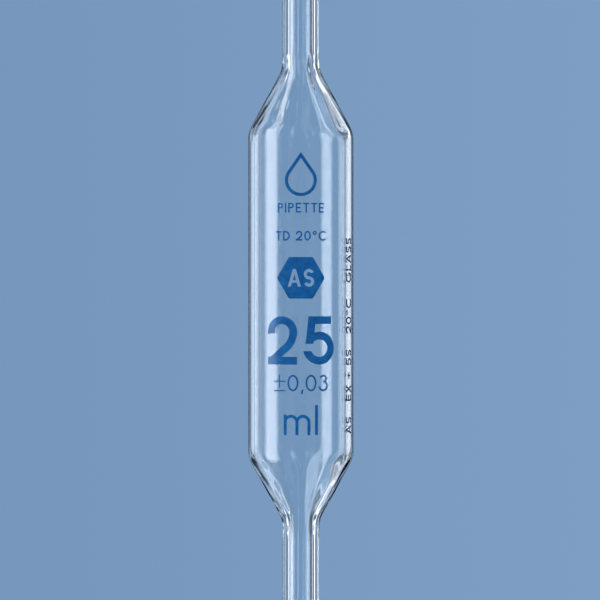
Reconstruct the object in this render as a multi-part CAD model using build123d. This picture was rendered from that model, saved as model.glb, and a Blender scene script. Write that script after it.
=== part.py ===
"""A 25 ml one-mark volumetric pipette, in the pieces that a glassworks makes it from.

Three glass tubes are butt-fused end to end on one axis: a delivery tube drawn out to a
jet, a bulb whose ends are drawn down to the stem's size, and a suction tube with a
fire-polished mouth. The markings are fired enamel, each a thin film on the outer wall.

Sizes are millimetres and angles degrees. Z is the pipette's axis, with the jet's end face
at z = 0 and the mouth at the top. The markings on the bulb face -Y.
"""
from build123d import *
from math import asin, atan2, cos, degrees, hypot, pi, radians, sin, tan
import os

# ---- capacity and the sizes that a maker chooses ------------------------------------
CAPACITY = 25000.0            # mm3 from the jet to the ring mark
OVERALL_LENGTH = 520.0        # jet's end face to the mouth

STEM_DIAMETER = 7.3           # both stems are cut from the same tubing
STEM_WALL = 1.25
DELIVERY_LENGTH = 185.0       # jet's end face to the bulb's lower seam
RING_ABOVE_SEAM = 40.0        # bulb's upper seam to the ring mark
MOUTH_ROUNDING = 0.5          # fire-polished edge, inside and outside

BULB_DIAMETER = 21.0
BULB_WALL = 1.0
SHOULDER_WALL = 1.0
NECK_GATHER = 1.4             # glass gathers in the neck, so the bore opens this much later
SHOULDER_ANGLE = 28.5         # between the shoulder and the axis
SHOULDER_CORNER = 3.5         # outer radius where the barrel turns into the shoulder
NECK_CORNER = 5.0             # outer radius where the shoulder turns into the neck
NECK_LENGTH = 3.0             # neck corner to the fused seam

JET_TAPER_START = 32.0        # height at which the delivery tube starts to narrow
NOZZLE_START = 12.0           # height at which the slender nozzle starts
NOZZLE_DIAMETER = 3.5
NOZZLE_WALL = 0.75
TIP_DIAMETER = 2.5
ORIFICE_DIAMETER = 0.9
JET_BLEND = 90.0              # radius that eases each change of taper
TIP_BEVEL = 0.2

# ---- enamel markings ----------------------------------------------------------------
ENAMEL = 0.04                 # film thickness
RING_MARK_WIDTH = 0.4
BAND_WIDTH = 5.0
BAND_BELOW_MOUTH = 25.0       # mouth to the middle of the colour code band

# The artwork is drawn for a barrel of the usual length, and scaled to fit any other.
LABEL_HEIGHT = 58.2
LABEL_WIDTH = 14.8            # of its widest row, measured round the wall
LABEL_MARGIN = 4.0            # bare glass at each end of the barrel
LABEL_HALF_ANGLE = 45.0       # the front label keeps within this each side of -Y

# Each row of lettering: the node's name, the text, its cap height, then the pen's width
# and the gap between letters as shares of that, and its middle above the barrel's middle.
LABEL_ROWS = [
    ("type_name", "PIPETTE", 1.95, 0.15, 0.20, 17.3),
    ("delivery_marking", "TD 20°C", 1.95, 0.16, 0.20, 11.7),
    ("capacity_numerals", "25", 9.65, 0.16, 0.13, -9.2),
    ("tolerance_marking", "±0,03", 3.3, 0.11, 0.13, -17.7),
    ("unit_marking", "ml", 5.95, 0.103, 0.16, -25.1),
]
WORD_SPACE = 0.42             # as a share of the cap height

SIDE_TEXT = "AS   EX + 5S   20°C   GLASS"
SIDE_AZIMUTH = 64.0           # where it runs up the wall, round from -Y
SIDE_MIDDLE = -8.4
SIDE_CAP_HEIGHT = 2.3
SIDE_PEN = 0.14
SIDE_LETTER_GAP = 0.16

DROP_HEIGHT = 8.8
DROP_WIDTH = 6.4
DROP_PEN = 0.65
DROP_MIDDLE = 24.0

BADGE_WIDTH = 9.6             # across the hexagon's corners
BADGE_ROUNDING = 0.5
BADGE_TEXT = "AS"
BADGE_CAP_HEIGHT = 3.5
BADGE_PEN = 0.17
BADGE_MIDDLE = 3.3

# ---- sizes that follow from those above ---------------------------------------------
STEM_R = STEM_DIAMETER / 2
BORE_R = STEM_R - STEM_WALL
BULB_R = BULB_DIAMETER / 2
CAVITY_R = BULB_R - BULB_WALL
LEAN = radians(SHOULDER_ANGLE)
SHOULDER_HEIGHT = (BULB_R - STEM_R) / tan(LEAN)
# How far the inner corners lie from the outer ones, along the axis.
CAVITY_CORNER_SHIFT = (BULB_WALL * cos(LEAN) - SHOULDER_WALL) / sin(LEAN)
BORE_CORNER_SHIFT = (STEM_WALL * cos(LEAN) - SHOULDER_WALL) / sin(LEAN) - NECK_GATHER
CAVITY_CORNER = max(SHOULDER_CORNER - BULB_WALL, SHOULDER_CORNER / 4)


# ---- lathe work ---------------------------------------------------------------------
def turned(outer, inner):
    """The glass between an outer and an inner outline, each drawn as (radius, height)."""
    ends = [Line(outer @ 0, inner @ 0), Line(outer @ 1, inner @ 1)]
    return revolve(Plane.XZ * make_face([*outer.edges(), *inner.edges(), *ends]), axis=Axis.Z)


def held_by(outline):
    """What a bore with this (radius, height) outline holds."""
    low, high = outline @ 0, outline @ 1
    axis = Polyline(high, (0, high.Y), (0, low.Y), low)
    return revolve(Plane.XZ * make_face([*outline.edges(), *axis.edges()]), axis=Axis.Z).volume


def bulb_seams(barrel):
    """Heights of the bulb's two seams when its straight barrel has this length."""
    return DELIVERY_LENGTH, DELIVERY_LENGTH + 2 * (NECK_LENGTH + SHOULDER_HEIGHT) + barrel


def bulb_outline(barrel, wall_r, neck_r, corner_shift, neck_shift, corner, neck_corner):
    """One wall of the bulb, from its lower seam to its upper one."""
    low, high = bulb_seams(barrel)
    low_barrel = low + NECK_LENGTH + SHOULDER_HEIGHT
    points = [
        (neck_r, low),
        (neck_r, low + NECK_LENGTH - neck_shift),
        (wall_r, low_barrel - corner_shift),
        (wall_r, low_barrel + barrel + corner_shift),
        (neck_r, high - NECK_LENGTH + neck_shift),
        (neck_r, high),
    ]
    return FilletPolyline(points, radius=[neck_corner, corner, corner, neck_corner])


def bulb_outer(barrel):
    return bulb_outline(barrel, BULB_R, STEM_R, 0, 0, SHOULDER_CORNER, NECK_CORNER)


def bulb_cavity(barrel):
    return bulb_outline(
        barrel, CAVITY_R, BORE_R, CAVITY_CORNER_SHIFT, BORE_CORNER_SHIFT,
        CAVITY_CORNER, NECK_CORNER + STEM_WALL,
    )


def jet_bore():
    points = [
        (ORIFICE_DIAMETER / 2, 0),
        (NOZZLE_DIAMETER / 2 - NOZZLE_WALL, NOZZLE_START),
        (BORE_R, JET_TAPER_START),
        (BORE_R, DELIVERY_LENGTH),
    ]
    return FilletPolyline(points, radius=[JET_BLEND, JET_BLEND])


def barrel_for_capacity():
    """The straight barrel that makes the bore hold CAPACITY up to the ring mark."""
    trial = BULB_DIAMETER
    held = held_by(jet_bore()) + held_by(bulb_cavity(trial)) + pi * BORE_R**2 * RING_ABOVE_SEAM
    return trial + (CAPACITY - held) / (pi * CAVITY_R**2)


BARREL_LENGTH = barrel_for_capacity()
LOWER_SEAM, UPPER_SEAM = bulb_seams(BARREL_LENGTH)
BARREL_MIDDLE = (LOWER_SEAM + UPPER_SEAM) / 2


def delivery_tube():
    tip_r = TIP_DIAMETER / 2
    points = [
        (tip_r - TIP_BEVEL, 0),
        (tip_r, TIP_BEVEL),
        (NOZZLE_DIAMETER / 2, NOZZLE_START),
        (STEM_R, JET_TAPER_START),
        (STEM_R, DELIVERY_LENGTH),
    ]
    return turned(FilletPolyline(points, radius=[0, JET_BLEND, JET_BLEND]), jet_bore())


def bulb():
    return turned(bulb_outer(BARREL_LENGTH), bulb_cavity(BARREL_LENGTH))


def suction_tube():
    rounding = min(MOUTH_ROUNDING, 0.45 * STEM_WALL)
    points = [
        (STEM_R, UPPER_SEAM),
        (STEM_R, OVERALL_LENGTH),
        (BORE_R, OVERALL_LENGTH),
        (BORE_R, UPPER_SEAM),
    ]
    wall = FilletPolyline(points, radius=[rounding, rounding])
    seam = Line(points[-1], points[0])
    return revolve(Plane.XZ * make_face([*wall.edges(), seam]), axis=Axis.Z)


def film(radius, low, high):
    """A sleeve of enamel on a glass wall of this radius."""
    section = Circle(radius + ENAMEL) - Circle(radius)
    return extrude(Plane.XY.offset(low) * section, amount=high - low)


def stem_band(middle, width):
    """Enamel all round the suction tube."""
    return film(STEM_R, middle - width / 2, middle + width / 2)


# ---- lettering: each glyph is drawn with an even pen, for a cap height of 1 ---------
def box(x0, y0, x1, y1):
    """An upright rectangle between two corners."""
    return Pos((x0 + x1) / 2, (y0 + y1) / 2) * Rectangle(x1 - x0, y1 - y0)


def stroke(x0, y0, x1, y1, pen):
    """A straight stroke between two points, with square ends."""
    turn = Rot(0, 0, degrees(atan2(y1 - y0, x1 - x0)))
    return Pos((x0 + x1) / 2, (y0 + y1) / 2) * turn * Rectangle(hypot(x1 - x0, y1 - y0), pen)


def slant(x0, x1, pen, low=0.0, high=1.0):
    """A leaning stroke that is cut level at its foot, at x0, and at its head, at x1."""
    half = pen / 2 * hypot(x1 - x0, high - low) / (high - low)
    return make_face(
        Polyline((x0 - half, low), (x0 + half, low), (x1 + half, high), (x1 - half, high), close=True)
    )


def bow(x, y, radius, start, sweep, pen):
    """An arc stroke about (x, y), with its mid-line at this radius."""
    outer = CenterArc((x, y), radius + pen / 2, start, sweep)
    inner = CenterArc((x, y), radius - pen / 2, start, sweep)
    ends = [Line(outer @ 0, inner @ 0), Line(outer @ 1, inner @ 1)]
    return make_face([*outer.edges(), *inner.edges(), *ends])


def two(pen):
    width, easy, turn = 0.65, 0.43, 50
    r = width / 2 - pen / 2
    y = 1 - width / 2
    x = width - pen / 2 - easy
    knee = (x + easy * cos(radians(turn)), y - easy * sin(radians(turn)))
    foot = (knee[0] - knee[1] * tan(radians(turn)), 0)
    reach = (2 * foot[0] - knee[0], -knee[1])
    head = bow(width / 2, y, r, 188, -188, pen) + bow(x, y, easy, 0, -turn, pen)
    return (head + stroke(*knee, *reach, pen) + box(0, 0, width, pen)) & box(0, 0, width, 1), width


def five(pen):
    width, low, high = 0.68, 0.28, 0.43
    r = width / 2
    bowl = bow(r, r, r - pen / 2, 142, -322, pen) - box(0, low, r, high)
    foot, head = 0.05 + pen / 2, 0.11 + pen / 2
    stem = slant(foot, head, pen, high, 1)
    return bowl + stem + box(head, 1 - pen, 0.61, 1), width


def zero(pen):
    r = 0.34
    return Pos(r, 0.5) * (Ellipse(r, 0.5) - Ellipse(r - pen, 0.5 - pen)), 2 * r


def three(pen):
    upper, x = 0.24 - pen / 2, 0.31
    lower = (1 - pen) / 2 - upper
    head = bow(x, 1 - pen / 2 - upper, upper, 165, -255, pen)
    return head + bow(x, pen / 2 + lower, lower, 90, -265, pen), x + lower + pen / 2


def comma(pen):
    return slant(0.06, 0.12, pen, -0.16, pen), 0.16


def crossed(middle, arm, reach, pen):
    """Two crossed bars about a point this high, arm wide and reach tall."""
    upright = box(arm / 2 - pen / 2, middle - reach / 2, arm / 2 + pen / 2, middle + reach / 2)
    return box(0, middle - pen / 2, arm, middle + pen / 2) + upright


def plus(pen):
    return crossed(0.45, 0.56, 0.56, pen), 0.56


def plus_minus(pen):
    thin = 0.65 * pen
    return crossed(0.6, 0.76, 0.76, thin) + box(0, 0, 0.76, thin), 0.76


def degree(pen):
    r = 0.21
    thin = 0.75 * pen
    return Pos(r, 1 - r) * (Circle(r) - Circle(r - thin)), 2 * r


def letter_p(pen):
    r, x = 0.28, 0.3
    bars = box(0, 0, pen, 1) + box(0, 1 - pen, x, 1) + box(0, 1 - 2 * r, x, 1 - 2 * r + pen)
    return bars + bow(x, 1 - r, r - pen / 2, -90, 180, pen), x + r


def letter_i(pen):
    return box(0, 0, pen, 1), pen


def letter_e(pen):
    arms = box(0, 0, 0.56, pen) + box(0, 0.5 - pen / 2, 0.52, 0.5 + pen / 2) + box(0, 1 - pen, 0.56, 1)
    return arms + box(0, 0, pen, 1), 0.56


def letter_t(pen):
    width = 0.62
    return box(0, 1 - pen, width, 1) + box(width / 2 - pen / 2, 0, width / 2 + pen / 2, 1), width


def letter_d(pen):
    x = 0.22
    bars = box(0, 0, x, pen) + box(0, 1 - pen, x, 1) + box(0, 0, pen, 1)
    return bars + bow(x, 0.5, 0.5 - pen / 2, -90, 180, pen), x + 0.5


def letter_c(pen):
    return bow(0.5, 0.5, 0.5 - pen / 2, 48, 264, pen), 0.83


def letter_g(pen):
    width = 0.9
    bars = box(0.54, 0.5 - pen, width, 0.5) + box(width - pen, 0.15, width, 0.5)
    return bow(0.5, 0.5, 0.5 - pen / 2, 48, 277, pen) + bars, width


def letter_a(pen):
    foot, half, bar = 0.54 * pen, 0.38, 0.22
    legs = slant(foot, half, pen) + slant(2 * half - foot, half, pen)
    return legs + box(0.2, bar, 2 * half - 0.2, bar + 0.9 * pen), 2 * half


def letter_s(pen):
    r = (1 - pen) / 4
    x = r + pen / 2
    return bow(x, 0.5 + r, r, 25, 245, pen) + bow(x, 0.5 - r, r, 90, -245, pen), 2 * x


def letter_x(pen):
    width, foot = 0.66, 0.58 * pen
    return slant(foot, width - foot, pen) + slant(width - foot, foot, pen), width


def letter_l(pen):
    return box(0, 0, pen, 1) + box(0, 0, 0.5, pen), 0.5


def small_m(pen):
    r, x_height = 0.2, 0.68
    spring = x_height - pen / 2 - r
    letter = box(0, 0, pen, x_height)
    for arch in (0, 1):
        x = pen / 2 + 2 * r * arch
        letter += bow(x + r, spring, r, 0, 180, pen)
        letter += box(x + 2 * r - pen / 2, 0, x + 2 * r + pen / 2, spring)
    return letter, pen + 4 * r


GLYPHS = {
    "2": two, "5": five, "0": zero, "3": three, ",": comma, "±": plus_minus, "+": plus,
    "°": degree, "P": letter_p, "I": letter_i, "E": letter_e, "T": letter_t, "D": letter_d,
    "C": letter_c, "G": letter_g, "A": letter_a, "S": letter_s, "X": letter_x, "L": letter_l,
    "m": small_m, "l": letter_i,
}


def set_line(text, height, pen, gap):
    """A line of text as (glyph, distance along the line), about the line's middle."""
    glyphs, along = [], 0.0
    for character in text:
        if character == " ":
            along += WORD_SPACE * height
            continue
        outline, width = GLYPHS[character](pen)
        centred = scale(Pos(-width / 2, -0.5) * outline, by=height, about=(0, 0, 0))
        glyphs.append((centred, along + width * height / 2))
        along += (width + gap) * height
    middle = (along - gap * height) / 2
    return [(outline, where - middle) for outline, where in glyphs]


# ---- enamel on the barrel -----------------------------------------------------------
LABEL_SCALE = min(
    (BARREL_LENGTH - 2 * LABEL_MARGIN) / LABEL_HEIGHT,
    2 * radians(LABEL_HALF_ANGLE) * BULB_R / LABEL_WIDTH,
)


def fired_on(outline, azimuth, height, turn=0.0):
    """A flat outline laid on the barrel's wall, as a film of enamel.

    azimuth is measured round from -Y, and turn spins the outline on the wall."""
    a = radians(azimuth)
    outward = Vector(sin(a), -cos(a), 0)
    wall = Plane(outward * BULB_R + Vector(0, 0, height), x_dir=(cos(a), sin(a), 0), z_dir=outward)
    stamp = extrude(wall * (Rot(0, 0, turn) * outline), amount=BULB_R / 4, both=True)
    size = outline.bounding_box()
    reach = max(size.min.length, size.max.length)
    return stamp & film(BULB_R, height - reach, height + reach)


def front_row(text, cap, pen, gap, middle):
    """One row of the front label: each glyph stands square to the wall at its own azimuth."""
    height = BARREL_MIDDLE + middle * LABEL_SCALE
    glyphs = set_line(text, cap * LABEL_SCALE, pen, gap)
    return [fired_on(outline, degrees(along / BULB_R), height) for outline, along in glyphs]


def side_inscription():
    """The text that runs up the wall beside the label."""
    middle = BARREL_MIDDLE + SIDE_MIDDLE * LABEL_SCALE
    glyphs = set_line(SIDE_TEXT, SIDE_CAP_HEIGHT * LABEL_SCALE, SIDE_PEN, SIDE_LETTER_GAP)
    return [fired_on(outline, SIDE_AZIMUTH, middle + along, 90) for outline, along in glyphs]


def front_mark(artwork, middle):
    """Artwork other than a row of text, on the front of the barrel."""
    fitted = scale(artwork, by=LABEL_SCALE, about=(0, 0, 0))
    return [fired_on(fitted, 0, BARREL_MIDDLE + middle * LABEL_SCALE)]


def drop_shape(width, height, foot):
    """A drop standing on a point: a round belly, and straight flanks that meet above it."""
    r = width / 2
    flank = degrees(asin(r / (height - r)))
    arc = CenterArc((0, foot + r), r, 180 - flank, 180 + 2 * flank)
    apex = (0, foot + height)
    return make_face([*arc.edges(), Line(arc @ 1, apex), Line(apex, arc @ 0)])


def drop_artwork():
    """The outline of a drop."""
    half = asin(DROP_WIDTH / 2 / (DROP_HEIGHT - DROP_WIDTH / 2))
    clear_height = DROP_HEIGHT - DROP_PEN - DROP_PEN / sin(half)
    foot = -DROP_HEIGHT / 2
    clear = drop_shape(DROP_WIDTH - 2 * DROP_PEN, clear_height, foot + DROP_PEN)
    return drop_shape(DROP_WIDTH, DROP_HEIGHT, foot) - clear


def badge_artwork():
    """A solid hexagon that carries the accuracy class in clear letters."""
    hexagon = RegularPolygon(BADGE_WIDTH / 2, 6, major_radius=True)
    badge = fillet(hexagon.vertices(), BADGE_ROUNDING)
    for outline, along in set_line(BADGE_TEXT, BADGE_CAP_HEIGHT, BADGE_PEN, SIDE_LETTER_GAP):
        badge -= Pos(along, 0) * outline
    return badge


def main():
    pieces = {
        "delivery_tube": [delivery_tube()],
        "bulb": [bulb()],
        "suction_tube": [suction_tube()],
        "ring_mark": [stem_band(UPPER_SEAM + RING_ABOVE_SEAM, RING_MARK_WIDTH)],
        "colour_code_band": [stem_band(OVERALL_LENGTH - BAND_BELOW_MOUTH, BAND_WIDTH)],
        "drop_mark": front_mark(drop_artwork(), DROP_MIDDLE),
        "class_badge": front_mark(badge_artwork(), BADGE_MIDDLE),
        "side_inscription": side_inscription(),
    }
    for name, *row in LABEL_ROWS:
        pieces[name] = front_row(*row)
    os.makedirs("parts", exist_ok=True)
    for name, shapes in pieces.items():
        solids = [solid for shape in shapes for solid in shape.solids()]
        export_step(Compound(solids), f"parts/{name}.step")
    print("barrel length", round(BARREL_LENGTH, 2), "label scale", round(LABEL_SCALE, 3))
    print("seams", round(LOWER_SEAM, 2), round(UPPER_SEAM, 2), "barrel middle", round(BARREL_MIDDLE, 2))


main()
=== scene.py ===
# %% [markdown]
# # A 25 ml volumetric pipette
# This lesson finishes the look of a single-volume glass pipette whose dimensions are already settled in CAD.
# The real thing is three pieces of borosilicate tube fused end to end in a flame: a long suction tube, a
# barrel that holds most of the liquid, and a delivery tube drawn out to a fine jet. Its markings are blue
# enamel, printed on the outside and fired in. The CAD model comes in first and is never moved. It gives every
# place and size, and the cells below add what CAD can't: flame-worked glass, fired enamel, light and a
# camera.

# %% The frame
import math

import bpy
import numpy as np
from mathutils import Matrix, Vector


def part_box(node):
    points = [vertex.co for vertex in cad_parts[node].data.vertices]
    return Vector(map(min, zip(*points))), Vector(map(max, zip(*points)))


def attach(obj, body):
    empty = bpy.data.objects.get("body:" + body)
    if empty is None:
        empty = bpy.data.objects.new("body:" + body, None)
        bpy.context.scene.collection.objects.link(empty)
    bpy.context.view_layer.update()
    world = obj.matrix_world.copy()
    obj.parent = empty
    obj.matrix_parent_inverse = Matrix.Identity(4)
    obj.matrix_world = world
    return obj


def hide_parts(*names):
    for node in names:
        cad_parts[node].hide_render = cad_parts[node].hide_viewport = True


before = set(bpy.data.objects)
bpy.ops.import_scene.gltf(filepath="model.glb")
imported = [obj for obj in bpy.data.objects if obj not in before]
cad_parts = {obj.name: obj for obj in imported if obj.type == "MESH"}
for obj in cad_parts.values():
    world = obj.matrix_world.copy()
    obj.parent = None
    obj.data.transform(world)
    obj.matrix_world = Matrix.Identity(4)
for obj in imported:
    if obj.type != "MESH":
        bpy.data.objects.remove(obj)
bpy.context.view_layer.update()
print("CAD nodes:", ", ".join(sorted(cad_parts)))

# %% [markdown]
# ## Two helpers
# Colours are written as the sRGB hex values that a paint chart gives, but shaders mix light, which adds up in
# linear values, so one function converts them. Node trees are easier to read when a node is made in one line
# together with its settings and its links, so a second function does that for every kind of node.

# %% Colours and nodes
def linear(code, alpha=1.0):
    """Linear RGBA of an sRGB hex colour: each channel c becomes ((c + 0.055) / 1.055) to the power 2.4, or
    c / 12.92 near black."""
    c = np.array([int(code[i:i + 2], 16) for i in (1, 3, 5)]) / 255
    c = np.where(c <= 0.04045, c / 12.92, ((c + 0.055) / 1.055) ** 2.4)
    return (*map(float, c), alpha)


def add(tree, kind, settings=None, sockets=None):
    """Adds one node. settings are its own properties; sockets gives each input a value, or links it to the
    output socket given."""
    made = tree.nodes.new("ShaderNode" + kind)
    for name, value in (settings or {}).items():
        setattr(made, name, value)
    for name, value in (sockets or {}).items():
        if isinstance(value, bpy.types.NodeSocket):
            tree.links.new(value, made.inputs[name])
        else:
            made.inputs[name].default_value = value
    return made


def new_material(name):
    """An empty node material and its tree."""
    material = bpy.data.materials.new(name)
    material.use_nodes = True
    material.node_tree.nodes.clear()
    return material, material.node_tree


print("a mid grey, linear:", [round(v, 3) for v in linear("#808080")])

# %% [markdown]
# ## Sizes, read from the frame
# The fused seams, the barrel's radius and the tubes' radius are the corners of the CAD nodes' boxes, so the
# glass below lands exactly where the CAD glass is. Only what a box can't tell is repeated here as a number:
# wall thicknesses, the cone's angle, the jet, and the radii at which the softened glass rounds its corners.

# %% Sizes in millimetres
MM = 0.001
bulb_low, bulb_high = (np.array(v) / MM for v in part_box("bulb"))
tube_low, tube_high = (np.array(v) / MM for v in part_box("suction_tube"))
SEAM_BELOW, SEAM_ABOVE = bulb_low[2], bulb_high[2]
MOUTH = tube_high[2]
BARREL_R = (bulb_high[0] - bulb_low[0]) / 2
STEM_R = (tube_high[0] - tube_low[0]) / 2

STEM_WALL, SHOULDER_WALL, BARREL_WALL, NECK_GATHER = 1.25, 1.0, 1.0, 1.4
CONE = math.tan(math.radians(28.5))
NECK_LENGTH, NECK_BEND, BARREL_BEND = 3.0, 5.0, 3.5
JET_BEND, MOUTH_ROUNDING = 90.0, 0.5
NOZZLE_TOP, TAPER_TOP = 12, 32
TIP_R, TIP_BEVEL, ORIFICE_R, NOZZLE_R, NOZZLE_BORE_R = 1.25, 0.2, 0.45, 1.75, 1.0

NECK_BELOW = SEAM_BELOW + NECK_LENGTH
NECK_ABOVE = SEAM_ABOVE - NECK_LENGTH
CONE_HEIGHT = (BARREL_R - STEM_R) / CONE
BARREL_BELOW, BARREL_ABOVE = NECK_BELOW + CONE_HEIGHT, NECK_ABOVE - CONE_HEIGHT
print(f"seams at {SEAM_BELOW:.1f} and {SEAM_ABOVE:.1f}, radii {STEM_R:.2f} and {BARREL_R:.2f}")
print(f"straight barrel from {BARREL_BELOW:.1f} to {BARREL_ABOVE:.1f}")

# %% [markdown]
# ## The glass: a profile turned about the axis
# Fused glass has no joints left in it: light runs through the seams as if they weren't there. Three separate
# closed meshes would each show an end wall inside the glass, so the whole pipette is one skin here, and it
# stands for the three CAD pieces. It could be a drawn curve with a Screw modifier, but worked out as an array
# the rings can be placed where the glass bends, and every point can be pushed in or out afterwards. The
# profile is a closed loop: up the outside, over the mouth, down the bore and out through the jet. Glass
# gathers in the neck as the barrel is drawn down, so the bore opens a little later than the outside does. Hot
# glass has no sharp bends either, so a running average softens them.

# %% The profile
def rounded_loop(corners, spacing=0.02):
    """Points along a closed loop of straight runs joined by arcs. A corner (r, z, bend) that turns by an angle
    t is cut back by bend * tan(t / 2) on both sides, and its arc is the circle of that radius that touches
    both runs."""
    p = np.array([c[:2] for c in corners])
    bend = np.array([c[2] for c in corners])
    before, after = p - np.roll(p, 1, 0), np.roll(p, -1, 0) - p
    before /= np.linalg.norm(before, axis=1)[:, None]
    after /= np.linalg.norm(after, axis=1)[:, None]
    turn = np.arctan2(before[:, 0] * after[:, 1] - before[:, 1] * after[:, 0], (before * after).sum(1))
    cut = bend * np.tan(np.abs(turn) / 2)
    points, knots = [], []
    for i in range(len(p)):
        steps = max(1, int(np.ceil(bend[i] * abs(turn[i]) / spacing)))
        t = np.linspace(0, 1, steps + 1)[:, None] * turn[i]
        side = np.sign(turn[i]) * np.array([-before[i, 1], before[i, 0]])
        arc = p[i] - before[i] * cut[i] + bend[i] * (before[i] * np.sin(np.abs(t)) + side * (1 - np.cos(t)))
        knots += [len(points), len(points) + steps] if bend[i] else [len(points)]
        points += list(arc if bend[i] else arc[:1])
    return np.array(points), np.array(knots)


def inner(r):
    """Height above the neck's corner at which a face SHOULDER_WALL inside the cone's outer one has radius r."""
    return (r - STEM_R + SHOULDER_WALL / math.cos(math.atan(CONE))) / CONE


BORE_R, CAVITY_R = STEM_R - STEM_WALL, BARREL_R - BARREL_WALL
outside = [
    (TIP_R - TIP_BEVEL, 0, 0), (TIP_R, TIP_BEVEL, 0),
    (NOZZLE_R, NOZZLE_TOP, JET_BEND), (STEM_R, TAPER_TOP, JET_BEND),
    (STEM_R, NECK_BELOW, NECK_BEND), (BARREL_R, BARREL_BELOW, BARREL_BEND),
    (BARREL_R, BARREL_ABOVE, BARREL_BEND), (STEM_R, NECK_ABOVE, NECK_BEND), (STEM_R, MOUTH, MOUTH_ROUNDING),
]
bore_opens = inner(BORE_R) + NECK_GATHER
bore = [
    (BORE_R, MOUTH, MOUTH_ROUNDING), (BORE_R, NECK_ABOVE - bore_opens, NECK_BEND + STEM_WALL),
    (CAVITY_R, NECK_ABOVE - inner(CAVITY_R), BARREL_BEND - BARREL_WALL),
    (CAVITY_R, NECK_BELOW + inner(CAVITY_R), BARREL_BEND - BARREL_WALL),
    (BORE_R, NECK_BELOW + bore_opens, NECK_BEND + STEM_WALL),
    (BORE_R, TAPER_TOP, JET_BEND), (NOZZLE_BORE_R, NOZZLE_TOP, JET_BEND), (ORIFICE_R, 0, 0),
]
loop, knots = rounded_loop(outside + bore)
print(len(loop), "points round the profile, from", loop.min(0).round(3), "to", loop.max(0).round(3))


def melted(loop, reach=0.45, fine=0.05):
    """Each wall's radius as a function of height, averaged over its neighbours with a bell curve whose width
    is reach. A straight tube or cone keeps its shape, and the bends run into them without a step in their
    curvature."""
    top = np.argmax(loop[:, 1] >= MOUTH - 1e-6)
    bell = np.exp(-0.5 * (np.arange(-4 * reach, 4 * reach + fine / 2, fine) / reach) ** 2)
    bell /= bell.sum()
    grid = np.arange(SEAM_BELOW - 12, SEAM_ABOVE + 12, fine)
    made = loop.copy()
    for wall in (np.arange(len(loop)) < top, np.arange(len(loop)) >= top):
        r, z = loop[wall].T
        order = np.argsort(z, kind="stable")
        smooth = np.convolve(np.interp(grid, z[order], r[order]), bell, "same")
        near = wall & (loop[:, 1] > SEAM_BELOW - 5) & (loop[:, 1] < SEAM_ABOVE + 5)
        made[near, 0] = np.interp(loop[near, 1], grid, smooth)
    return made


def spaced(loop, knots, start, end, spacing):
    """The loop with extra points on its straight runs between two heights, so that a long run can bend."""
    closed = np.vstack([loop, loop[:1]])
    along = np.concatenate([[0], np.cumsum(np.linalg.norm(np.diff(closed, axis=0), axis=1))])
    extra = np.arange(0, along[-1], spacing)
    z = np.interp(extra, along, closed[:, 1])
    at = np.union1d(along[:-1], extra[(z > start) & (z < end)])
    points = np.stack([np.interp(at, along, closed[:, k]) for k in (0, 1)], 1)
    return points, np.searchsorted(at, along[:-1][knots])


loop, knots = spaced(loop, knots, SEAM_BELOW - 8, SEAM_ABOVE + 8, 0.05)
loop = melted(loop)
print(len(loop), "points after softening the shoulders")

# %% [markdown]
# ## Rings where the glass bends
# A straight tube needs few rings and a shoulder needs many, because a highlight shows every facet of a bend.
# Each step along the profile gets a weight, large in the shoulders, and rings are set at equal steps of the
# summed weight. The corners of the profile are kept as rings of their own, so no size is lost.

# %% Rings
SEGMENTS, RINGS = 240, 392

step = np.linalg.norm(np.diff(np.vstack([loop, loop[:1]]), axis=0), axis=1)
height = (loop[:, 1] + np.roll(loop[:, 1], -1)) / 2
in_shoulder = (height > SEAM_BELOW - 2) & (height < BARREL_BELOW + 4)
in_shoulder |= (height > BARREL_ABOVE - 4) & (height < SEAM_ABOVE + 2)
at_mouth = height > MOUTH - 1.2
in_jet = height < 40
weight = step * np.select([in_shoulder, at_mouth, in_jet], [1.0, 1.3, 0.18], 0.014)
along = np.concatenate([[0], np.cumsum(weight)])
even = np.linspace(0, along[-1], RINGS - len(knots) + 1)[:-1]
at = np.unique(np.concatenate([even, along[knots]]))
closed = np.vstack([loop, loop[:1]])
ring_r, ring_z = (np.interp(at, along, closed[:, k]) for k in (0, 1))
drawn_down = (ring_z > SEAM_BELOW) & (ring_z < BARREL_BELOW) | (ring_z > BARREL_ABOVE) & (ring_z < SEAM_ABOVE)
print(len(at), "rings,", int(drawn_down.sum()), "of them in the shoulders")

# %% [markdown]
# ## Hand-worked shoulders
# The barrel and the tubes are drawn by machine and are almost true. The shoulders are pulled down by hand
# while the glass is soft and turning, so their walls are a little uneven. Three things show: flutes, shallow
# channels that run from neck to barrel; turning marks, rings left by the rolling; and a slight thickening
# where the pieces were fused. They are moves of a few hundredths of a millimetre, small to measure but plain
# to see, because a curved wall bends light like a lens. A bump in the material would do for the surface, but
# not for the way the wall's thickness bends light, so the mesh is moved. Flutes and marks are sums of a few
# cosine waves wrapped round the axis, faded in and out along the shoulder, and smaller where the tube is
# thinner.

# %% Flutes, turning marks and seams
FLUTE_ORDERS, MARK_ORDERS = (5, 6, 8, 9, 11, 13, 16), (0, 0, 1, 1, 2, 3)
rng = np.random.default_rng(4)


def fade(z, start, end, soft):
    """0 outside start..end and 1 inside, each change a half cosine as long as soft."""
    up = np.clip((z - start) / soft, 0, 1)
    down = np.clip((end - z) / soft, 0, 1)
    return (0.5 - 0.5 * np.cos(np.pi * up)) * (0.5 - 0.5 * np.cos(np.pi * down))


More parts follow.
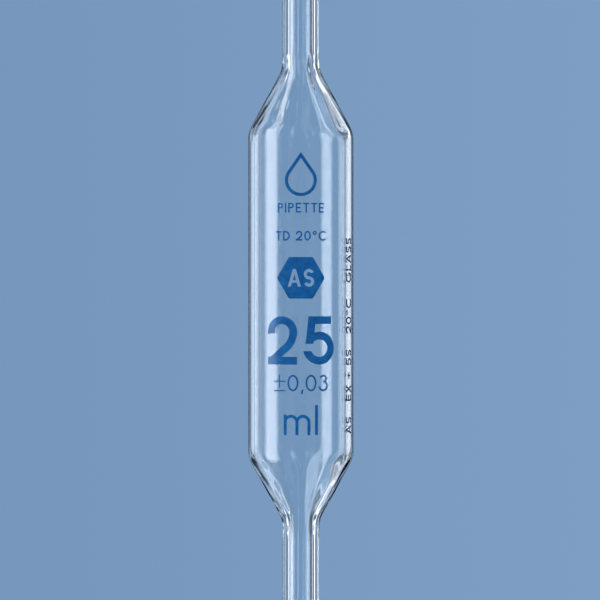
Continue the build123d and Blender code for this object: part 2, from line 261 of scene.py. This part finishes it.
def waves(angle, z, start, end, orders, slants, size):
    """Sum over the orders of cos(order * angle + slant * (z - start) + phase) / sqrt(number of orders), times
    size, faded at both ends. Each slant, in radians per mm, is drawn from the range slants and is as likely to
    lean either way."""
    total = 0
    for m in orders:
        phase, slant = rng.uniform(0, 2 * np.pi), rng.choice((-1, 1)) * rng.uniform(*slants)
        total = total + np.cos(m * angle + slant * (z - start) + phase)
    return size * total / math.sqrt(len(orders)) * fade(z, start, end, 4.0)


def turned(r, z, segments):
    """The profile (r, z) carried round the axis, as grids of angle, r and z: x = r cos(angle) and
    y = r sin(angle)."""
    angle = np.linspace(0, 2 * np.pi, segments, endpoint=False)
    angle, r = np.meshgrid(angle, r)
    z = np.broadcast_to(z[:, None], r.shape)
    return angle, r, z


angle, r, z = turned(ring_r, ring_z, SEGMENTS)
tangent = np.stack([np.gradient(ring_r), np.gradient(ring_z)], 1)
tangent /= np.linalg.norm(tangent, axis=1)[:, None] + 1e-12
inward = tangent[:, ::-1] * (-1, 1)
on_bore = (np.arange(len(at)) > np.argmax(ring_z))[:, None]
push = np.zeros_like(r)
for start, end in ((SEAM_BELOW - 1.5, BARREL_BELOW + 2.5), (BARREL_ABOVE - 2.5, SEAM_ABOVE + 1.5)):
    for wall, flute, mark in ((on_bore, 0.085, 0.060), (~on_bore, 0.050, 0.035)):
        push += wall * waves(angle, z, start, end, FLUTE_ORDERS, (0.0, 0.25), flute)
        push += wall * waves(angle, z, start, end, MARK_ORDERS, (0.5, 1.4), mark)
push *= r / BARREL_R
for seam in (SEAM_BELOW, SEAM_ABOVE):
    push += np.where(on_bore, 0.05, 0.015) * np.exp(-((z - seam) / 0.8) ** 2)
r = np.minimum(r + push * inward[:, :1], BARREL_R)
z = z + push * inward[:, 1:]
print(f"walls moved by {push.min():.3f} to {push.max():.3f} mm")

# %% [markdown]
# ## The glass mesh
# The rings become one mesh with a quad between each two rings and two segments. It closes both ways, like a
# tyre, because the profile runs up the outside and back down the bore. The arrays could be built up face by
# face, but Blender takes each of them in one call. Shading is smooth, apart from bends sharper than 35
# degrees, such as the bevel at the jet. The mesh then takes the place of the three CAD tubes.

# %% Glass mesh
SHARPEST = math.radians(35)


def ring_mesh(name, x, y, z):
    """A mesh from grids of coordinates whose rows and columns both close on themselves, one quad per cell."""
    rows, columns = x.shape
    index = np.arange(rows * columns).reshape(rows, columns)
    right, up = np.roll(index, -1, 1), np.roll(index, -1, 0)
    faces = np.stack([index, right, np.roll(right, -1, 0), up], -1).reshape(-1, 4)
    mesh = bpy.data.meshes.new(name)
    mesh.vertices.add(rows * columns)
    mesh.vertices.foreach_set("co", (np.stack([x, y, z], -1) * MM).astype(np.float32).ravel())
    mesh.loops.add(faces.size)
    mesh.loops.foreach_set("vertex_index", faces.astype(np.int32).ravel())
    mesh.polygons.add(len(faces))
    mesh.polygons.foreach_set("loop_start", np.arange(0, faces.size, 4, dtype=np.int32))
    mesh.polygons.foreach_set("use_smooth", np.ones(len(faces), dtype=bool))
    mesh.update(calc_edges=True)
    mesh.set_sharp_from_angle(angle=SHARPEST)
    return mesh


mesh = ring_mesh("fused_glass", r * np.cos(angle), r * np.sin(angle), z)
glass = bpy.data.objects.new("fused_glass", mesh)
bpy.context.scene.collection.objects.link(glass)
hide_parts("suction_tube", "bulb", "delivery_tube")
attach(glass, "root")
print(len(mesh.polygons), "quads, box", [round(v / MM, 3) for v in (*glass.bound_box[0], *glass.bound_box[6])])

# %% [markdown]
# ## Borosilicate glass, drawn and flame-worked
# Laboratory borosilicate has an index of refraction of 1.474 and almost no tint; a thick wall seen edge on is
# faintly blue-green. Drawing the tube leaves striae, threads of slightly different glass that run lengthwise
# and are far too shallow to feel. They could be modelled, but they are finer than any mesh, so a noise
# stretched twenty times along the axis tilts the surface a little through a bump. The surface itself is fire
# polished: the roughness is nearly zero.

# %% Glass material
borosilicate, tree = new_material("borosilicate glass, drawn and flame-worked")
place = add(tree, "TexCoord")
stretch = add(tree, "Mapping", sockets={"Vector": place.outputs["Object"], "Scale": (1, 1, 0.05)})
striae = add(tree, "TexNoise", sockets={
    "Vector": stretch.outputs["Vector"], "Scale": 1 / (1.6 * MM), "Detail": 2.0, "Roughness": 0.45})
ripple = add(tree, "Bump", sockets={
    "Height": striae.outputs[0], "Strength": 0.35, "Distance": 0.004 * MM})
shader = add(tree, "BsdfPrincipled", sockets={
    "Base Color": linear("#F7FAFB"), "Roughness": 0.0, "IOR": 1.474, "Transmission Weight": 1.0,
    "Normal": ripple.outputs["Normal"]})
add(tree, "OutputMaterial", sockets={"Surface": shader.outputs["BSDF"]})
mesh.materials.append(borosilicate)
print("glass shader:", len(tree.nodes), "nodes")

# %% [markdown]
# ## Blue glass enamel, printed and fired
# The markings are a paste of ground blue glass, screen printed and fired until it melts onto the tube. It is
# opaque and glossy, stands a few hundredths of a millimetre proud, and is never quite even: the mesh of the
# screen leaves it thinner in places, where it looks lighter. The CAD already has every figure as a thin
# solid, so only their material changes: cloudy variation two millimetres across, a finer grain, and a
# slightly wavy surface. There are two inks, a brighter one for all but one of the markings and a darker one
# with no specular gloss for the line up the side.

# %% Enamel material
def enamel_material(name, thin, thick, level):
    """Fired enamel whose colour runs from thin to thick. level is the shader's specular level, and 0.5 is a
    full gloss."""
    material, tree = new_material(name)
    place = add(tree, "TexCoord")
    cloud = add(tree, "TexNoise", sockets={
        "Vector": place.outputs["Object"], "Scale": 1 / (2.0 * MM), "Detail": 3.0, "Roughness": 0.6})
    shade = add(tree, "ValToRGB", sockets={"Fac": cloud.outputs[0]})
    low, high = shade.color_ramp.elements
    low.position, low.color = 0.35, linear(thick)
    high.position, high.color = 0.68, linear(thin)
    grain = add(tree, "TexNoise", sockets={
        "Vector": place.outputs["Object"], "Scale": 1 / (0.25 * MM), "Detail": 2.0})
    gloss = add(tree, "MapRange", sockets={
        "Value": grain.outputs[0], "From Min": 0.3, "From Max": 0.7, "To Min": 0.16, "To Max": 0.28})
    wavy = add(tree, "Bump", sockets={"Height": grain.outputs[0], "Strength": 0.3, "Distance": 0.02 * MM})
    shader = add(tree, "BsdfPrincipled", sockets={
        "Base Color": shade.outputs["Color"], "Roughness": gloss.outputs["Result"], "IOR": 1.52,
        "Specular IOR Level": level, "Normal": wavy.outputs["Normal"]})
    add(tree, "OutputMaterial", sockets={"Surface": shader.outputs["BSDF"]})
    return material


enamel = enamel_material("blue glass enamel, screen printed and fired", "#2280B8", "#16669F", 0.25)
# The line up the side takes a darker blue with no specular gloss.
side_line_enamel = enamel_material("dark blue glass enamel of the side line", "#11467C", "#0B3566", 0.0)
printed = {n: o for n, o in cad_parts.items() if n not in ("suction_tube", "bulb", "delivery_tube")}
for name, mark in printed.items():
    ink = side_line_enamel if name == "side_inscription" else enamel
    if not mark.material_slots:
        mark.data.materials.append(ink)
    for slot in mark.material_slots:
        slot.material = ink
print("enamelled:", ", ".join(sorted(printed)))

# %% [markdown]
# ## A blue backdrop
# Clear glass has no colour of its own, so it is drawn by what stands around it. Behind it hangs blue paper, a
# little lighter to the right. It could be a plane, but a plane has edges that the glass would show, so the
# world's own colour is used, with a ramp across X that is as wide as the view.

# %% Backdrop
scene = bpy.context.scene
scene.view_settings.view_transform = "Standard"
world = bpy.data.worlds.new("blue paper backdrop")
world.use_nodes = True
world.node_tree.nodes.clear()
way = add(world.node_tree, "TexCoord")
parts = add(world.node_tree, "SeparateXYZ", sockets={"Vector": way.outputs["Generated"]})
across = add(world.node_tree, "MapRange", sockets={
    "Value": parts.outputs["X"], "From Min": -0.15, "From Max": 0.15})
tone = add(world.node_tree, "ValToRGB", sockets={"Fac": across.outputs["Result"]})
left, right = tone.color_ramp.elements
left.color, right.color = linear("#7697BB"), linear("#7E9FC3")
backdrop = add(world.node_tree, "Background", sockets={"Color": tone.outputs["Color"], "Strength": 1.0})
add(world.node_tree, "OutputWorld", sockets={"Surface": backdrop.outputs["Background"]})
scene.world = world

# %% [markdown]
# ## Softboxes and flags
# Tall softboxes at the sides lay long reflections on the glass, and dark flags draw its edges. Each one is a
# strip of a cylinder about the pipette. A wide barrel and a thin tube bend the same light to different
# places, so each strip has one brightness for the barrel's height and one for the tubes'. In a studio that
# takes many small cards; here a glow attribute on the strip's points does it. The camera doesn't see any
# strip, the flags are seen only in reflections, and two thin window strips in front lay fine lines on the
# glass.

# %% Softboxes and flags
ROOM_R = 0.25
BARREL_ZONE, LIT_ZONE, ZONE_SOFT = (0.163, 0.302), (0.085, 0.380), 0.022
STRIP_COLUMNS, STRIP_ROWS = 31, 241
BARREL_MIDDLE = (BARREL_BELOW + BARREL_ABOVE) / 2 * MM


def glow_material(name, colour):
    """Light that leaves the front of a strip only, as strong as the strip's own glow attribute says."""
    material, tree = new_material(name)
    glow = add(tree, "Attribute", {"attribute_name": "glow"})
    facing = add(tree, "NewGeometry")
    front = add(tree, "Math", {"operation": "SUBTRACT"}, {0: 1.0, 1: facing.outputs["Backfacing"]})
    power = add(tree, "Math", {"operation": "MULTIPLY"}, {0: glow.outputs["Fac"], 1: front.outputs[0]})
    light = add(tree, "Emission", sockets={"Color": linear(colour), "Strength": power.outputs[0]})
    add(tree, "OutputMaterial", sockets={"Surface": light.outputs["Emission"]})
    return material


softbox_cloth = glow_material("softbox cloth, lit by flash", "#F3F7FF")
sky_cloth = glow_material("softbox cloth, lit by daylight", "#CCE2FF")
dark_card = glow_material("dark blue card", "#7A9BFF")


def strip(name, sides, by_barrel, by_tubes, material, heights=(-0.4, 0.75), soft=(0.0, 0.03)):
    """A strip of a cylinder of radius ROOM_R about the pipette. sides are two azimuths in degrees, 0 behind it
    and 90 to its right; heights are in metres. Its glow is by_barrel in BARREL_ZONE, by_tubes in the rest of
    LIT_ZONE and their mean beyond it, with half cosines between them. It falls to 0 at the edges over soft: a
    half cosine in degrees times one in metres."""
    a, z = np.meshgrid(np.linspace(*sides, STRIP_COLUMNS), np.linspace(*heights, STRIP_ROWS))
    barrel, near = fade(z, *BARREL_ZONE, ZONE_SOFT), fade(z, *LIT_ZONE, ZONE_SOFT)
    level = by_barrel * barrel + by_tubes * (near - barrel) + (by_barrel + by_tubes) / 2 * (1 - near)
    level = level * fade(a, *sides, max(soft[0], 1e-6)) * fade(z, *heights, soft[1])
    x, y = ROOM_R * np.sin(np.radians(a)), ROOM_R * np.cos(np.radians(a))
    index = np.arange(a.size).reshape(a.shape)
    faces = np.stack([index[:-1, :-1], index[:-1, 1:], index[1:, 1:], index[1:, :-1]], -1).reshape(-1, 4)
    mesh = bpy.data.meshes.new(name)
    mesh.from_pydata(np.stack([x, y, z], -1).reshape(-1, 3), [], faces)
    mesh.attributes.new("glow", "FLOAT", "POINT").data.foreach_set("value", level.astype(np.float32).ravel())
    mesh.materials.append(material)
    made = bpy.data.objects.new(name, mesh)
    bpy.context.scene.collection.objects.link(made)
    made.visible_camera = made.visible_diffuse = made.visible_shadow = False
    return made


strip("glow_left", (-22, -12), 0.40, 0.70, sky_cloth)
strip("card_left", (-31, -22), 0.04, 0.55, sky_cloth)
strip("fill_left", (-54, -31), 0.95, 0.20, sky_cloth)
strip("softbox_left_behind", (-68, -54), 3.60, 1.25, sky_cloth)
strip("wing_left_behind", (-84, -68), 0.28, 1.20, sky_cloth)
strip("softbox_left_front", (-130, -92), 6.40, 6.40, softbox_cloth, heights=(0.0, 0.70), soft=(8.0, 0.06))
strip("glow_right", (12, 16), 0.45, 0.85, sky_cloth)
strip("card_right", (16, 30), 0.03, 0.18, sky_cloth)
strip("fill_right", (30, 36), 1.75, 0.25, sky_cloth)
strip("softbox_right", (36, 48), 0.72, 1.70, softbox_cloth)
strip("edge_right", (48, 55), 2.75, 0.70, softbox_cloth)
strip("side_right", (55, 78), 1.60, 0.20, sky_cloth)
strip("wing_right", (78, 90), 0.38, 0.20, softbox_cloth)
strip("window_left_front", (-165, -157), 0.50, 2.80, sky_cloth)
strip("window_right_front", (150, 158), 0.50, 1.80, sky_cloth)
for side, sides in (("left", (-32, -3)), ("right", (3, 32))):
    flag = strip(f"flag_{side}", sides, 0.0, 0.0, dark_card)
    flag.visible_transmission = False
print("softboxes stand", ROOM_R, "m from the axis; the barrel's middle is at", round(BARREL_MIDDLE, 4), "m")

# %% [markdown]
# ## Room light
# The strips only shine into the glass, so two area lamps light the rest: the enamel and the floor. They stand
# for a ceiling panel and a window. Both are hidden from reflections and from what is seen through the glass,
# where they would add marks that the softboxes don't make.

# %% Room light
LAMPS = (("ceiling_panel", (0.0, -0.2, 1.6), 1.6, 9.0), ("window_side", (-1.4, -0.9, 0.8), 1.0, 5.0))
for name, place, size, power in LAMPS:
    lamp = bpy.data.lights.new(name, "AREA")
    lamp.shape, lamp.size, lamp.energy = "SQUARE", size, power
    lamp.color = linear("#FFFBF4")[:3]
    made = bpy.data.objects.new(name, lamp)
    made.location = place
    aim = np.array((0.0, 0.0, BARREL_MIDDLE)) - np.array(place)
    tilt, turn = math.acos(-aim[2] / np.linalg.norm(aim)), math.atan2(aim[1], aim[0]) - math.pi / 2
    made.rotation_euler = (tilt, 0, turn)
    made.visible_glossy = made.visible_transmission = False
    scene.collection.objects.link(made)
print("two area lamps light what isn't glass")

# %% [markdown]
# ## A floor
# The floor is plain and pale, and only there so that the other views have something to stand on. The jet's
# end is the lowest point of the pipette, so the floor lies just under it. It is neither mirrored in the glass
# nor seen through it: the backdrop shows in its place, and the glass looks the same down to the jet.

# %% Floor
FLOOR_R, FLOOR_Z = 1.1, -0.0005
floor_paint, tree = new_material("pale matt floor paint")
place = add(tree, "TexCoord")
mottle = add(tree, "TexNoise", sockets={"Vector": place.outputs["Object"], "Scale": 12.0, "Detail": 3.0})
tone = add(tree, "MixRGB", {"blend_type": "MIX"}, {
    "Fac": mottle.outputs[0], "Color1": linear("#C3D2E2"), "Color2": linear("#CAD8E7")})
shader = add(tree, "BsdfPrincipled", sockets={
    "Base Color": tone.outputs["Color"], "Roughness": 0.8, "Specular IOR Level": 0.1})
add(tree, "OutputMaterial", sockets={"Surface": shader.outputs["BSDF"]})
ring, around = np.meshgrid(
    np.linspace(0, FLOOR_R, 12)[1:], np.linspace(0, 2 * np.pi, 97)[:-1], indexing="ij")
disc = np.stack([ring * np.cos(around), ring * np.sin(around), 0 * ring + FLOOR_Z], -1).reshape(-1, 3)
points = np.vstack([[[0, 0, FLOOR_Z]], disc])
index = 1 + np.arange(ring.size).reshape(ring.shape)
turn = np.roll(index, -1, 1)
quads = np.stack([index[:-1], index[1:], turn[1:], turn[:-1]], -1).reshape(-1, 4).tolist()
fan = np.stack([0 * index[0], index[0], turn[0]], -1).tolist()
floor_mesh = bpy.data.meshes.new("floor")
floor_mesh.from_pydata(points, [], quads + fan)
floor_mesh.materials.append(floor_paint)
floor = bpy.data.objects.new("floor", floor_mesh)
scene.collection.objects.link(floor)
floor.visible_transmission = floor.visible_glossy = False
print("floor:", len(floor_mesh.polygons), "faces,", 2 * FLOOR_R, "m across")

# %% [markdown]
# ## The camera
# A 120 mm lens stands 40 cm from the axis, level with the barrel, so that upright lines stay upright. A
# tilted camera would make them lean together. At this distance the picture is 120 mm across at the axis, so
# the barrel and its two shoulders fill its height and the tubes run out of it.

# %% Camera
lens = bpy.data.cameras.new("camera")
lens.lens, lens.sensor_width = 120, 36
lens.clip_start, lens.clip_end = 0.05, 20
camera = bpy.data.objects.new("camera", lens)
camera.location = (-0.00017, -0.4, 0.23193)
camera.rotation_euler = (math.pi / 2, 0, 0)
scene.collection.objects.link(camera)
scene.camera = camera
print("camera at", tuple(camera.location))
